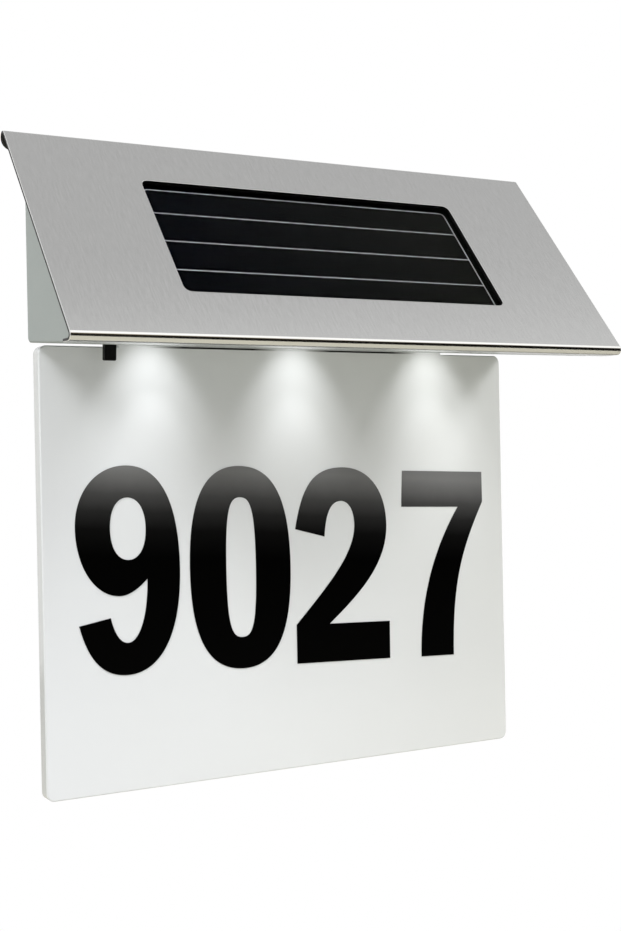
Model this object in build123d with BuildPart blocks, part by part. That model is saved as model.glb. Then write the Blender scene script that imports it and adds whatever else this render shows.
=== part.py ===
"""Solar house number light: an acrylic number panel below a wedge-shaped lamp with a folded steel canopy.

The wall is the plane y = 0, with the room at -Y. z = 0 is the line of the two hanging holes. Millimetres.
"""
import os
from math import atan2, cos, degrees, radians, sin, tan

from build123d import *

# Number panel: acrylic sheet with a tongue that goes up behind the lamp's floor
panel_width = 185
panel_height = 148
panel_thickness = 5
panel_corner = 2.8
panel_arris = 0.4
panel_top = -40
tongue_width = 130
tongue_height = 16
tongue_corner = 3
tongue_clearance = 0.4
panel_screw_spacing = 64
pocket_wall = 4.0

# Canopy: folded sheet, with its slope measured between the two folds
canopy_width = 205
canopy_top = 28.4
sheet = 1.0
fold_inner = 0.8
slope_angle = 50
slope_length = 89.3
flange_setback = 2.0
rear_flange = 4.0
rear_flange_corner = 3.6
return_flange = 6.7
return_flange_corner = 3.0

# Window and the solar panel below it, stacked from the sheet inwards
window_width = 121.5
window_height = 52.3
window_corner = 2.5
glass_margin = 4.0
glass_corner = 2.0
gasket_thickness = 0.7
gasket_setback = 0.4
glass_thickness = 2.0
laminate_gap = 0.05
film_thickness = 0.12
film_border = 1.0
film_corner = 2.0
cell_pitch = 13.35
scribe = 0.5
backboard_thickness = 1.2
tray_clearance = 0.3
tray_wall = 1.6

# Housing: moulded wedge, open at the rear
housing_width = 188.5
wall = 3.0
deck = 2.4
ledge = 1.5
floor_gap = 1.1
seat_gap = 0.3
nose_relief = 1.0
nose_length = 12.0
rear_corner = 2.0
cheek_edge = 0.8
boss_radius = 3.5
boss_length = 14.0
boss_rib = 1.6

# Back cover with its seal and keyholes
cover_thickness = 2.5
cover_clearance = 0.2
seal_thickness = 0.8
keyhole_spacing = 120
keyhole_radius = 4.0
keyhole_slot = 4.4
keyhole_rise = 8.0
cover_screw_inset = 7.25
cover_screw_low = -29
cover_screw_high = 11

# Countersunk screws
screw_shank = 1.25
screw_head = 2.5
screw_clearance = 0.15
cover_screw_length = 10
panel_screw_length = 8.5
board_screw_length = 5
board_screw_head = 1.4

# Circuit board and what it carries
board_end_room = 11.25
board_depth = 18
board_thickness = 1.6
board_rear = 9.8
board_standoff = 5.0
post_radius = 3.0
post_setback = 22.0
post_spacing = 60
post_inset = 8
led_inset = 24
led_setback = 12.8
led_radius = 2.5
led_rim_radius = 2.95
led_rim = 1.0
led_length = 7.0
led_clearance = 0.3
chip_size = (5.0, 4.0, 1.6)
chip_place = (12, -18)
inductor_radius = 3.2
inductor_height = 4.5
inductor_place = (22, -18)

# Slide switch: its lever passes through the floor
lever_inset = 22.85
lever_setback = 14.0
lever_width = 4.0
lever_depth = 2.0
lever_reach = 5.2
lever_travel = 3.2
lever_base = (6.0, 3.6, 2.0)
lever_edge = 0.3
switch_clearance = 0.3
switch_wall = 0.9
slot_clearance = 0.4

# Battery in its holder, on the inside of the back cover
cell_radius = 7.25
cell_length = 49.0
nub_radius = 2.75
nub_length = 1.5
holder_z = -9.0
holder_wall = 1.4
holder_clearance = 0.3
holder_side = 10.0
contact_room = 2.5
contact_thickness = 0.4
contact_width = 8.0
pad_thickness = 1.0

# Leads
wire_radius = 0.7
wire_bend = 5.0
wire_end_gap = 0.1
solar_wire_places = (-12, -20)
solar_wire_drop = 45
solar_wire_run = 13
battery_wire_x = 42
battery_wire_setback = 11.2

# Numerals: cut vinyl, in a row that drifts down to the right
numeral_thickness = 0.2
numeral_height = 70
numeral_row = -76.3
numeral_drift = 1.9
nine_x, zero_x, two_x, seven_x = -62.65, -20.9, 20.3, 64.5


# The slope, and points on it
slope = radians(slope_angle)
down_y, down_z = -cos(slope), -sin(slope)
out_y, out_z = -sin(slope), cos(slope)
fold_outer = fold_inner + sheet
crest_y = -(flange_setback + fold_outer)
crest_z = canopy_top - fold_outer


def on_slope(distance, depth=0):
    """The (y, z) that far down the slope from the crest's fold, and that deep below its outer face."""
    y = crest_y + out_y * (fold_outer - depth) + down_y * distance
    z = crest_z + out_z * (fold_outer - depth) + down_z * distance
    return y, z


def slope_y(z, depth):
    """The y of the plane at that depth below the slope, at height z."""
    start_y, start_z = on_slope(0, depth)
    return start_y + (z - start_z) * down_y / down_z


def slope_z(y, depth):
    """The height of the plane at that depth below the slope, at y."""
    start_y, start_z = on_slope(0, depth)
    return start_z + (y - start_y) * down_z / down_y


slope_plane = Plane(origin=(0, *on_slope(slope_length / 2)), x_dir=(1, 0, 0), z_dir=(0, out_y, out_z))
lip_y, lip_z = on_slope(slope_length, fold_outer)
lip_bottom = lip_z - fold_outer
return_end = lip_y + return_flange

# The housing's floor slants down from above the panel to the canopy's returned lip
floor_rear = panel_top + floor_gap
floor_front = return_end + seat_gap
floor_tilt = atan2(floor_rear - lip_bottom, -floor_front)
floor_plane = Plane(
    origin=(0, 0, floor_rear), x_dir=(1, 0, 0), z_dir=(0, -sin(floor_tilt), cos(floor_tilt))
)
board_under = wall + board_standoff
board_top = board_under + board_thickness


def floor_z(y, height=0):
    """The height of the plane that far above the floor's underside, at y."""
    return floor_rear + y * tan(floor_tilt) + height / cos(floor_tilt)


# The housing's rear opening, and the pocket below it for the panel's tongue
rim_top = crest_z - rear_flange - seat_gap
opening_top = rim_top - wall
opening_bottom = floor_z(0, wall)
opening_width = housing_width - 2 * wall
cover_screw_x = opening_width / 2 - cover_screw_inset
board_width = opening_width - 2 * board_end_room
led_spacing = board_width / 2 - led_inset
lever_x = lever_inset - housing_width / 2
tongue_top = panel_top + tongue_height
pocket_width = tongue_width + 2 * tongue_clearance
pocket_top = tongue_top + tongue_clearance
pocket_depth = panel_thickness + tongue_clearance
notch_width = pocket_width + 2 * wall
notch_top = pocket_top + wall

glass_width = window_width + 2 * glass_margin
glass_height = window_height + 2 * glass_margin
glass_depth = sheet + gasket_thickness
film_depth = glass_depth + glass_thickness + laminate_gap
backboard_depth = film_depth + film_thickness + laminate_gap
tray_depth = backboard_depth + backboard_thickness
tray_width = glass_width + 2 * tray_clearance
tray_height = glass_height + 2 * tray_clearance

rear_plane = Plane(origin=(0, 0, 0), x_dir=(-1, 0, 0), z_dir=(0, 1, 0))
cover_screw_places = [
    (side * cover_screw_x, z) for side in (-1, 1) for z in (cover_screw_low, cover_screw_high)
]
panel_screw_z = (panel_top + tongue_top) / 2
panel_screw_places = [(side * panel_screw_spacing / 2, panel_screw_z) for side in (-1, 1)]
post_places = (-post_spacing / 2, post_spacing / 2, board_width / 2 - post_inset)
post_points = [(x, -post_setback) for x in post_places]
led_places = {"led_left": -led_spacing, "led_centre": 0, "led_right": led_spacing}
tray_holes = [(x, slope_length / 2 - solar_wire_drop) for x in solar_wire_places]
holder_base = cover_thickness + pad_thickness
cell_y = -(holder_base + holder_wall + holder_clearance + cell_radius)
holder_inside = cell_length + nub_length + contact_room


def rear_opening(grow):
    """The rear opening's outline, that much larger all round, with its notch over the panel's tongue."""
    with BuildSketch() as outline:
        with Locations((0, (opening_top + opening_bottom) / 2)):
            Rectangle(opening_width + 2 * grow, opening_top - opening_bottom + 2 * grow)
        with Locations((0, notch_top - grow)):
            Rectangle(
                notch_width - 2 * grow,
                notch_top - opening_bottom + 2 * wall,
                align=(Align.CENTER, Align.MAX),
                mode=Mode.SUBTRACT,
            )
    return outline.sketch


# Canopy: one sheet folded twice, cut for the solar panel, with rounded flange corners
with BuildPart() as canopy:
    with BuildSketch(Plane.YZ):
        with BuildLine():
            flange = Line((-flange_setback, crest_z - rear_flange), (-flange_setback, crest_z))
            crest = TangentArc(flange @ 1, on_slope(0), tangent=flange % 1)
            face = Line(crest @ 1, on_slope(slope_length))
            lip = TangentArc(face @ 1, (lip_y, lip_bottom), tangent=face % 1)
            Line(lip @ 1, (return_end, lip_bottom))
            offset(amount=sheet, side=Side.LEFT)
        make_face()
    extrude(amount=canopy_width / 2, both=True)
    with BuildSketch(slope_plane):
        RectangleRounded(window_width, window_height, window_corner)
    extrude(amount=-2 * sheet, mode=Mode.SUBTRACT)
    fillet(canopy.edges().filter_by(Axis.Y).group_by(Axis.Z)[-1], rear_flange_corner)
    fillet(canopy.edges().filter_by(Axis.Z).group_by(Axis.Z)[0], return_flange_corner)

# The housing's hollow, less the tray, the tongue's pocket, the bosses and the board's posts
hollow_front = lip_y + nose_length
deck_depth = sheet + deck
with BuildPart() as hollow:
    with BuildSketch(Plane.YZ):
        with BuildLine():
            Polyline(
                (0, opening_bottom),
                (hollow_front, floor_z(hollow_front, wall)),
                (hollow_front, slope_z(hollow_front, deck_depth)),
                (slope_y(opening_top, deck_depth), opening_top),
                (0, opening_top),
                close=True,
            )
        make_face()
    extrude(amount=opening_width / 2, both=True)
    with BuildSketch(slope_plane.offset(-sheet)):
        Rectangle(tray_width + 2 * tray_wall, tray_height + 2 * tray_wall)
    extrude(amount=-(tray_depth - sheet + tray_wall), mode=Mode.SUBTRACT)
    with BuildSketch(Plane.XZ):
        with Locations((0, notch_top)):
            Rectangle(notch_width, notch_top - panel_top, align=(Align.CENTER, Align.MAX))
    extrude(amount=pocket_depth + pocket_wall, mode=Mode.SUBTRACT)
    with BuildSketch(Plane.XZ.offset(cover_thickness)):
        with Locations(*cover_screw_places):
            Circle(boss_radius)
        for side_x, boss_z in cover_screw_places:
            with Locations(((side_x + opening_width / 2 * side_x / abs(side_x)) / 2, boss_z)):
                Rectangle(opening_width / 2 - cover_screw_x, boss_rib)
    extrude(amount=boss_length, mode=Mode.SUBTRACT)
    with BuildSketch(floor_plane):
        with Locations(*post_points):
            Circle(post_radius)
    extrude(amount=board_under, mode=Mode.SUBTRACT)

# Housing: wedge between the canopy's two flanges, with a rebate for the cover and its seal
with BuildPart() as housing:
    with BuildSketch(Plane.YZ):
        with BuildLine():
            Polyline(
                (0, floor_rear),
                (floor_front, lip_bottom),
                (floor_front, lip_bottom + sheet),
                (lip_y + nose_relief, lip_bottom + sheet),
                on_slope(slope_length - nose_relief, sheet),
                on_slope(nose_relief, sheet),
                (-flange_setback - sheet, crest_z - nose_relief),
                (-flange_setback - sheet, rim_top),
                (0, rim_top),
                close=True,
            )
        make_face()
    extrude(amount=housing_width / 2, both=True)
    fillet(housing.edges().filter_by(Axis.X).group_by(Axis.Y)[-1].sort_by(Axis.Z)[0], rear_corner)
    cheeks = housing.faces().filter_by(Axis.X)
    fillet(cheeks.edges(), cheek_edge)
    add(hollow.part, mode=Mode.SUBTRACT)
    with BuildSketch(Plane.XZ):
        add(rear_opening(ledge))
    extrude(amount=cover_thickness + seal_thickness, mode=Mode.SUBTRACT)
    with BuildSketch(Plane.XZ):
        with Locations((0, pocket_top)):
            Rectangle(pocket_width, 2 * tongue_height, align=(Align.CENTER, Align.MAX))
    extrude(amount=pocket_depth, mode=Mode.SUBTRACT)
    with BuildSketch(slope_plane.offset(-sheet)):
        Rectangle(tray_width, tray_height)
    extrude(amount=-(tray_depth - sheet), mode=Mode.SUBTRACT)
    with BuildSketch(slope_plane.offset(-tray_depth)):
        with Locations(*tray_holes):
            Circle(wire_radius + wire_end_gap)
    extrude(amount=-2 * tray_wall, mode=Mode.SUBTRACT)
    with BuildSketch(floor_plane):
        with Locations(*[(x, -led_setback) for x in led_places.values()]):
            Circle(led_radius + led_clearance)
        with Locations((lever_x + lever_travel / 2, -lever_setback)):
            Rectangle(
                lever_width + lever_travel + 2 * slot_clearance, lever_depth + 2 * slot_clearance
            )
    extrude(amount=wall, mode=Mode.SUBTRACT)
    with BuildSketch(Plane.XZ.offset(cover_thickness)):
        with Locations(*cover_screw_places):
            Circle(screw_shank)
    extrude(amount=cover_screw_length, mode=Mode.SUBTRACT)
    with BuildSketch(Plane.XZ.offset(pocket_depth)):
        with Locations(*panel_screw_places):
            Circle(screw_shank)
    extrude(amount=panel_screw_length - panel_thickness, mode=Mode.SUBTRACT)
    with BuildSketch(floor_plane.offset(board_under)):
        with Locations(*post_points):
            Circle(screw_shank)
    extrude(amount=-board_screw_length, mode=Mode.SUBTRACT)

# Number panel: sheet and tongue in one, with a polished arris round its front
with BuildPart() as number_panel:
    with BuildSketch(Plane.XZ) as panel_outline:
        with Locations((0, panel_top)):
            Rectangle(panel_width, panel_height, align=(Align.CENTER, Align.MAX))
        fillet(panel_outline.vertices(), panel_corner)
        with Locations((0, panel_top - panel_corner)):
            Rectangle(
                tongue_width, tongue_height + panel_corner, align=(Align.CENTER, Align.MIN)
            )
        fillet(panel_outline.vertices().group_by(Axis.Y)[-1], tongue_corner)
    extrude(amount=panel_thickness)
    chamfer(number_panel.faces().sort_by(Axis.Y)[0].edges(), panel_arris)
    with Locations(rear_plane):
        with Locations(*panel_screw_places):
            CounterSinkHole(
                screw_shank + screw_clearance, screw_head + screw_clearance, counter_sink_angle=90
            )

# Foam ring that seals the solar glass to the underside of the sheet
with BuildPart() as window_gasket:
    with BuildSketch(slope_plane.offset(-sheet)):
        RectangleRounded(glass_width, glass_height, glass_corner)
        RectangleRounded(
            window_width + 2 * gasket_setback,
            window_height + 2 * gasket_setback,
            window_corner + gasket_setback,
            mode=Mode.SUBTRACT,
        )
    extrude(amount=-gasket_thickness)

# Solar panel: glass over a thin film, which fine scribed lines divide into a border and four cell strips,
# and the pale board that shows through them
with BuildPart() as solar_glass:
    with BuildSketch(slope_plane.offset(-glass_depth)):
        RectangleRounded(glass_width, glass_height, glass_corner)
    extrude(amount=-glass_thickness)

with BuildPart() as solar_cells:
    cells_width = window_width - 2 * film_border
    cells_height = window_height - 2 * film_border
    with BuildSketch(slope_plane.offset(-film_depth)):
        RectangleRounded(glass_width, glass_height, glass_corner)
        RectangleRounded(cells_width, cells_height, film_corner, mode=Mode.SUBTRACT)
        RectangleRounded(cells_width - 2 * scribe, cells_height - 2 * scribe, film_corner - scribe)
        with GridLocations(0, cell_pitch, 1, 3):
            Rectangle(cells_width, scribe, mode=Mode.SUBTRACT)
    extrude(amount=-film_thickness)

with BuildPart() as solar_backboard:
    with BuildSketch(slope_plane.offset(-backboard_depth)):
        RectangleRounded(glass_width, glass_height, glass_corner)
    extrude(amount=-backboard_thickness)

# Back cover: plate in the housing's rebate, notched over the tongue, hung by two keyholes
with BuildPart() as back_cover:
    with BuildSketch(Plane.XZ):
        add(rear_opening(ledge - cover_clearance))
        with GridLocations(keyhole_spacing, 0, 2, 1):
            Circle(keyhole_radius, mode=Mode.SUBTRACT)
            with Locations((0, keyhole_rise / 2)):
                Rectangle(keyhole_slot, keyhole_rise, mode=Mode.SUBTRACT)
            with Locations((0, keyhole_rise)):
                Circle(keyhole_slot / 2, mode=Mode.SUBTRACT)
    extrude(amount=cover_thickness)
    with Locations(rear_plane):
        with Locations(*cover_screw_places):
            CounterSinkHole(
                screw_shank + screw_clearance, screw_head + screw_clearance, counter_sink_angle=90
            )

with BuildPart() as cover_seal:
    with BuildSketch(Plane.XZ.offset(cover_thickness)):
        add(rear_opening(ledge - cover_clearance))
        add(rear_opening(cover_clearance), mode=Mode.SUBTRACT)
    extrude(amount=seal_thickness)


def countersunk_screws(places, length):
    """Screws in the rear face, with a 90 degree head flush with it."""
    with BuildPart(rear_plane) as screws:
        with Locations(*places):
            Cone(
                screw_shank,
                screw_head,
                screw_head - screw_shank,
                align=(Align.CENTER, Align.CENTER, Align.MAX),
            )
            Cylinder(screw_shank, length, align=(Align.CENTER, Align.CENTER, Align.MAX))
    return screws


cover_screws = countersunk_screws(cover_screw_places, cover_screw_length)
panel_screws = countersunk_screws(panel_screw_places, panel_screw_length)

# Circuit board on the floor's posts, with its pan head screws
with BuildPart() as circuit_board:
    with BuildSketch(floor_plane.offset(board_under)):
        with Locations((0, -board_rear)):
            Rectangle(board_width, board_depth, align=(Align.CENTER, Align.MAX))
        with Locations(*post_points):
            Circle(screw_shank + screw_clearance, mode=Mode.SUBTRACT)
    extrude(amount=board_thickness)

with BuildPart(floor_plane.offset(board_top)) as board_screws:
    with Locations(*post_points):
        Cylinder(screw_head, board_screw_head, align=(Align.CENTER, Align.CENTER, Align.MIN))
        Cylinder(screw_shank, board_screw_length, align=(Align.CENTER, Align.CENTER, Align.MAX))

with BuildPart(floor_plane.offset(board_top)) as control_chip:
    with Locations(chip_place):
        Box(*chip_size, align=(Align.CENTER, Align.CENTER, Align.MIN))

with BuildPart(floor_plane.offset(board_top)) as inductor:
    with Locations(inductor_place):
        Cylinder(inductor_radius, inductor_height, align=(Align.CENTER, Align.CENTER, Align.MIN))
    chamfer(inductor.faces().sort_by(Axis.Z)[-1].edges(), led_clearance)


def below_board(x, setback):
    """A plane on the board's underside at that place, facing down."""
    place = floor_plane.offset(board_under).from_local_coords(Vector(x, -setback, 0))
    return Plane(origin=place, x_dir=(1, 0, 0), z_dir=-floor_plane.z_dir)


def led(x):
    """Round LED: rim against the board, and a dome that passes through the floor."""
    with BuildPart(below_board(x, led_setback)) as lamp:
        Cylinder(led_rim_radius, led_rim, align=(Align.CENTER, Align.CENTER, Align.MIN))
        dome_start = led_length - led_radius
        Cylinder(led_radius, dome_start, align=(Align.CENTER, Align.CENTER, Align.MIN))
        with Locations((0, 0, dome_start)):
            Sphere(led_radius)
    return lamp


leds = {name: led(x) for name, x in led_places.items()}

# Slide switch below the board: a case round the lever's base, open below for its stem
base_length, base_depth, base_height = lever_base
case_inside = (
    base_length + lever_travel + 2 * switch_clearance,
    base_depth + 2 * switch_clearance,
    base_height + 2 * switch_clearance,
)
case_height = case_inside[2] + 2 * switch_wall
with BuildPart(below_board(lever_x + lever_travel / 2, lever_setback)) as switch_body:
    Box(
        case_inside[0] + 2 * switch_wall,
        case_inside[1] + 2 * switch_wall,
        case_height,
        align=(Align.CENTER, Align.CENTER, Align.MIN),
    )
    with Locations((0, 0, switch_wall)):
        Box(*case_inside, align=(Align.CENTER, Align.CENTER, Align.MIN), mode=Mode.SUBTRACT)
    with Locations((0, 0, case_height)):
        Box(
            lever_width + lever_travel + 2 * switch_clearance,
            lever_depth + 2 * switch_clearance,
            2 * switch_wall,
            mode=Mode.SUBTRACT,
        )

base_top = switch_wall + switch_clearance
lever_length = board_under - base_top + lever_reach
with BuildPart(below_board(lever_x, lever_setback)) as switch_lever:
    with Locations((0, 0, base_top)):
        Box(*lever_base, align=(Align.CENTER, Align.CENTER, Align.MIN))
        Box(lever_width, lever_depth, lever_length, align=(Align.CENTER, Align.CENTER, Align.MIN))
    chamfer(switch_lever.faces().sort_by(Axis.Z)[0].edges(), lever_edge)

# Battery holder: a trough for one cell, stuck to the inside of the back cover
holder_length = holder_inside + 2 * holder_wall
holder_width = 2 * (cell_radius + holder_clearance + holder_wall)
with BuildPart() as holder_pad:
    with BuildSketch(Plane.XZ.offset(cover_thickness)):
        with Locations((0, holder_z)):
            Rectangle(holder_length - 2 * holder_wall, holder_width - 2 * holder_wall)
    extrude(amount=pad_thickness)

with BuildPart() as battery_holder:
    with BuildSketch(Plane.XZ.offset(holder_base)):
        with Locations((0, holder_z)):
            Rectangle(holder_length, holder_width)
    extrude(amount=holder_side)
    with BuildSketch(Plane.XZ.offset(holder_base + holder_wall)):
        with Locations((0, holder_z)):
            Rectangle(holder_inside, holder_width - 2 * holder_wall)
    extrude(amount=holder_side, mode=Mode.SUBTRACT)

# Cell with its nub to the right, and the two contacts at the holder's ends
cell_left = -holder_inside / 2 + contact_room - contact_thickness
with BuildPart(Plane(origin=(cell_left, cell_y, holder_z), x_dir=(0, 1, 0), z_dir=(1, 0, 0))) as battery_cell:
    Cylinder(cell_radius, cell_length, align=(Align.CENTER, Align.CENTER, Align.MIN))
    Cylinder(nub_radius, cell_length + nub_length, align=(Align.CENTER, Align.CENTER, Align.MIN))

with BuildPart() as battery_contact_plus:
    with BuildSketch(Plane.YZ.offset(holder_inside / 2)):
        with Locations((cell_y, holder_z)):
            Rectangle(contact_width, contact_width)
    extrude(amount=-contact_thickness)

with BuildPart() as battery_contact_minus:
    with BuildSketch(Plane.XY.offset(holder_z)):
        with BuildLine():
            leaf_x, leaf_y = -holder_inside / 2 + contact_thickness / 2, cell_y
            Polyline(
                (leaf_x, leaf_y - contact_width / 2),
                (leaf_x, leaf_y + contact_width / 2),
                (cell_left - contact_thickness, leaf_y + contact_thickness),
                (cell_left - contact_thickness, leaf_y - contact_width / 3),
            )
        trace(line_width=contact_thickness)
    extrude(amount=contact_width / 2, both=True)


def lead(*points):
    """An insulated lead along straight runs with rounded corners."""
    with BuildPart() as wire:
        with BuildLine() as path:
            FilletPolyline(*points, radius=wire_bend)
        start = path.line
        with BuildSketch(Plane(origin=start @ 0, z_dir=start % 0)):
            Circle(wire_radius)
        sweep()
    return wire


def solar_lead(x):
    """From the solar panel's board, through the tray and down to the circuit board."""
    turn_y, turn_z = on_slope(solar_wire_drop, solar_wire_run)
    return lead(
        (x, *on_slope(solar_wire_drop, tray_depth)),
        (x, turn_y, turn_z),
        (x, turn_y, floor_z(turn_y, board_top + wire_radius * tan(floor_tilt) + wire_end_gap)),
    )


def battery_lead(side):
    """From the holder's end wall, outwards and down to the circuit board."""
    end_z = floor_z(-battery_wire_setback, board_top) + wire_radius * tan(floor_tilt) + wire_end_gap
    return lead(
        (side * (holder_length / 2 + wire_end_gap), -battery_wire_setback, holder_z),
        (side * battery_wire_x, -battery_wire_setback, holder_z),
        (side * battery_wire_x, -battery_wire_setback, end_z),
    )


leads = {
    "solar_wire_red": solar_lead(solar_wire_places[0]),
    "solar_wire_black": solar_lead(solar_wire_places[1]),
    "battery_wire_red": battery_lead(1),
    "battery_wire_black": battery_lead(-1),
}

# Numerals: outlines in each one's own frame, u to the right and w up from the middle of the row, for a
# numeral of 70 units
drift = tan(radians(numeral_drift))
numeral_unit = numeral_height / 70


def outline(centre_x, start, *runs):
    """Straight runs (one point) and curves (two handles and a point), from the start, on the drifting row."""

    def on_row(point):
        x = centre_x + point[0] * numeral_unit
        return x, numeral_row + panel_top + point[1] * numeral_unit - drift * x

    here = start
    with BuildLine() as edge:
        for run in runs:
            points = [on_row(point) for point in (here, *run)]
            if len(points) == 2:
                Line(*points)
            else:
                Bezier(*points)
            here = run[-1]
    return edge.line


def oval(half_width, half_height, square_x, square_y, middle=(0, 0)):
    """Start and four quarter curves of an oval. Larger shares square_x and square_y make squarer shoulders."""
    u, w = middle
    a, b = half_width, half_height
    return (
        (u, w + b),
        ((u + a * square_x, w + b), (u + a, w + b * square_y), (u + a, w)),
        ((u + a, w - b * square_y), (u + a * square_x, w - b), (u, w - b)),
        ((u - a * square_x, w - b), (u - a, w - b * square_y), (u - a, w)),
        ((u - a, w + b * square_y), (u - a * square_x, w + b), (u, w + b)),
    )


with BuildPart() as numeral_nine:
    with BuildSketch(Plane.XZ.offset(panel_thickness)):
        add(
            outline(
                nine_x,
                (-0.2, 34.8),
                ((12.3, 34.8), (18.5, 22), (18.5, 0)),
                ((18.5, -22), (11, -35), (-1.5, -35)),
                ((-11, -35), (-15.2, -27.9), (-17.8, -18.2)),
                ((-6.8, -15.9),),
                ((-5.7, -20.5), (-3.8, -24.3), (-0.8, -24.3)),
                ((3.6, -24.3), (6.6, -15), (6.6, -3)),
                ((4.2, -5.6), (0.4, -8.7), (-3.4, -8.7)),
                ((-12, -8.7), (-18.6, 1), (-18.6, 14)),
                ((-18.6, 26), (-10.7, 34.8), (-0.2, 34.8)),
            )
        )
        make_face()
        add(outline(nine_x, *oval(6.4, 10.4, 0.6, 0.62, middle=(-0.1, 13.7))))
        make_face(mode=Mode.SUBTRACT)
    extrude(amount=numeral_thickness)

with BuildPart() as numeral_zero:
    with BuildSketch(Plane.XZ.offset(panel_thickness)):
        add(outline(zero_x, *oval(19.5, 35.2, 0.66, 0.70)))
        make_face()
        add(outline(zero_x, *oval(5.8, 24.3, 0.70, 0.85)))
        make_face(mode=Mode.SUBTRACT)
    extrude(amount=numeral_thickness)

with BuildPart() as numeral_two:
    with BuildSketch(Plane.XZ.offset(panel_thickness)):
        add(
            outline(
                two_x,
                (-19.5, 13),
                ((-16.6, 27.7), (-12.2, 35.3), (0.8, 35.3)),
                ((11.3, 35.3), (18.8, 27.4), (18.8, 14.4)),
                ((18.8, -0.6), (5.5, -11.7), (-6.1, -21.1)),
                ((19.5, -21.1),),
                ((19.4, -34.8),),
                ((-19.6, -34.8),),
                ((-19.6, -21),),
                ((-7.8, -8.7), (5.1, 3.4), (5.1, 14.4)),
                ((5.1, 19.9), (2.8, 23.1), (-0.4, 23.1)),
                ((-4.9, 23.1), (-6.9, 18.5), (-7.6, 10.3)),
                ((-19.5, 13),),
            )
        )
        make_face()
    extrude(amount=numeral_thickness)

with BuildPart() as numeral_seven:
    with BuildSketch(Plane.XZ.offset(panel_thickness)):
        add(
            outline(
                seven_x,
                (-18, 34.4),
                ((18.2, 34.4),),
                ((18.3, 23),),
                ((8.8, 5.4), (3.8, -6.7), (3.8, -35)),
                ((-10.8, -35),),
                ((-10.8, -13.3), (-4.6, 4.6), (6.9, 21)),
                ((-18.6, 21),),
                ((-18, 34.4),),
            )
        )
        make_face()
    extrude(amount=numeral_thickness)

pieces = {
    "canopy": canopy,
    "housing": housing,
    "number_panel": number_panel,
    "panel_screws": panel_screws,
    "window_gasket": window_gasket,
    "solar_glass": solar_glass,
    "solar_cells": solar_cells,
    "solar_backboard": solar_backboard,
    "back_cover": back_cover,
    "cover_seal": cover_seal,
    "cover_screws": cover_screws,
    "circuit_board": circuit_board,
    "board_screws": board_screws,
    "control_chip": control_chip,
    "inductor": inductor,
    **leds,
    "switch_body": switch_body,
    "switch_lever": switch_lever,
    "holder_pad": holder_pad,
    "battery_holder": battery_holder,
    "battery_cell": battery_cell,
    "battery_contact_plus": battery_contact_plus,
    "battery_contact_minus": battery_contact_minus,
    **leads,
    "numeral_nine": numeral_nine,
    "numeral_zero": numeral_zero,
    "numeral_two": numeral_two,
    "numeral_seven": numeral_seven,
}
os.makedirs("parts", exist_ok=True)
for name, piece in pieces.items():
    piece.part.label = name
    export_step(piece.part, f"parts/{name}.step")
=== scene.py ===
"""Solar house number light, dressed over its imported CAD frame. Metres, wall at y = 0, room at -Y."""

import bmesh
import bpy
import numpy as np
from mathutils import Matrix, Vector


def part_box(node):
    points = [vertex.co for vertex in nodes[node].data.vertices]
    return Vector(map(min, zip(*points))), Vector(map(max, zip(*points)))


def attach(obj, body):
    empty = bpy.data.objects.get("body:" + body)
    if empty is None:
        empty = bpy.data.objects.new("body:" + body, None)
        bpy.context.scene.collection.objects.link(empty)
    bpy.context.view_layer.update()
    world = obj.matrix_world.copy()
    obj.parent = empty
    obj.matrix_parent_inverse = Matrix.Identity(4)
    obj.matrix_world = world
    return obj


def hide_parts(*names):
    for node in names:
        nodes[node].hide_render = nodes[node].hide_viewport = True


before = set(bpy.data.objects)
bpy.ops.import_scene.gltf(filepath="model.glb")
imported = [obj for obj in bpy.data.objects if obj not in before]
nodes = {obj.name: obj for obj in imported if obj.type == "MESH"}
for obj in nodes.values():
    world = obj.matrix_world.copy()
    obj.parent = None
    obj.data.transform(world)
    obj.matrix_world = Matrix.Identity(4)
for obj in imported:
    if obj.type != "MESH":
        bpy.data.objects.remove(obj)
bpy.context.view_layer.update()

# Camera: stands to the viewer's left of the light, level with the tops of the numerals, as in the photograph.
# Its place and direction were worked out from the panel's corners and the canopy's edges.
camera_place = (-0.2389, -0.4420, -0.0789)
camera_right = Vector((0.8708, -0.4913, -0.0197))
camera_up = Vector((0.0190, -0.0064, 0.9998))
camera_back = camera_right.cross(camera_up).normalized()
camera_up = camera_back.cross(camera_right).normalized()
camera_data = bpy.data.cameras.new("camera")
camera_data.sensor_fit = "VERTICAL"
camera_data.sensor_height = 36.0
camera_data.lens = 54.23
camera_data.clip_start = 0.01
camera = bpy.data.objects.new("camera", camera_data)
camera.matrix_world = Matrix.Translation(camera_place) @ Matrix(
    (camera_right.normalized(), camera_up, camera_back)
).transposed().to_4x4()
bpy.context.scene.collection.objects.link(camera)
bpy.context.scene.camera = camera
bpy.context.scene.view_settings.view_transform = "Standard"

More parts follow.
